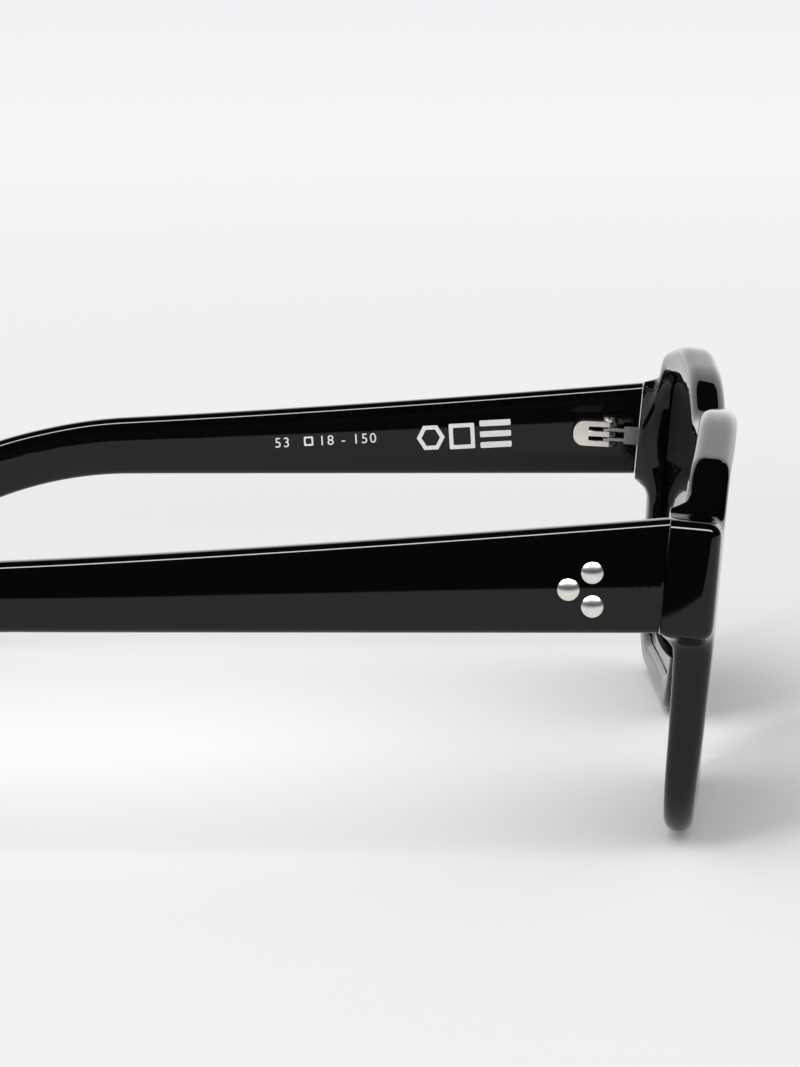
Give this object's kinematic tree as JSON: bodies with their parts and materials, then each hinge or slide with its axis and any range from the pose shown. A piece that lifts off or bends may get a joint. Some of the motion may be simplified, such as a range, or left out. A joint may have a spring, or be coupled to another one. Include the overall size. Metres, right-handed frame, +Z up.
{
  "type": "cat eye sunglasses",
  "caption": "Thick glossy black acetate sunglasses with raised brows, flat dark lenses, tapering folding temples on knuckle hinges and small metal studs.",
  "frame": {"origin": "on the floor that the rims and temple tips stand on, at the middle of the bounding box", "axes": "+Z up, -Y towards the front of the lenses, +X towards the wearer's left"},
  "size_m": [0.1432, 0.1564, 0.0539],
  "materials": {
    "acetate": "polished black acetate",
    "nose_pad": "polished black acetate",
    "lens": "dark grey tinted lens",
    "hinge": "polished nickel silver",
    "screw": "turned steel",
    "core": "drawn wire",
    "stud": "satin nickel"
  },
  "bodies": {
    "front": {"front_frame": "acetate", "lens_left": "lens", "lens_right": "lens", "nose_pad_left": "nose_pad", "nose_pad_right": "nose_pad", "hinge_front_leaf_left": "hinge", "hinge_front_leaf_right": "hinge"},
    "left_temple": {"temple_left": "acetate", "temple_core_left": "core", "hinge_temple_leaf_left": "hinge", "hinge_screw_left": "screw", "temple_stud_upper_left": "stud", "temple_stud_lower_left": "stud", "temple_stud_rear_left": "stud"},
    "right_temple": {"temple_right": "acetate", "temple_core_right": "core", "hinge_temple_leaf_right": "hinge", "hinge_screw_right": "screw", "temple_stud_upper_right": "stud", "temple_stud_lower_right": "stud", "temple_stud_rear_right": "stud"}
  },
  "joints": [
    {"name": "left_fold", "type": "hinge", "parent": "front", "child": "left_temple", "pos_m": [0.0654, -0.06141, 0.03688], "axis": [0, -0.0523, 0.9986], "range_deg": [0, 90]},
    {"name": "right_fold", "type": "hinge", "parent": "front", "child": "right_temple", "pos_m": [-0.0654, -0.06141, 0.03688], "axis": [0, 0.0523, -0.9986], "range_deg": [0, 82]}
  ]
}
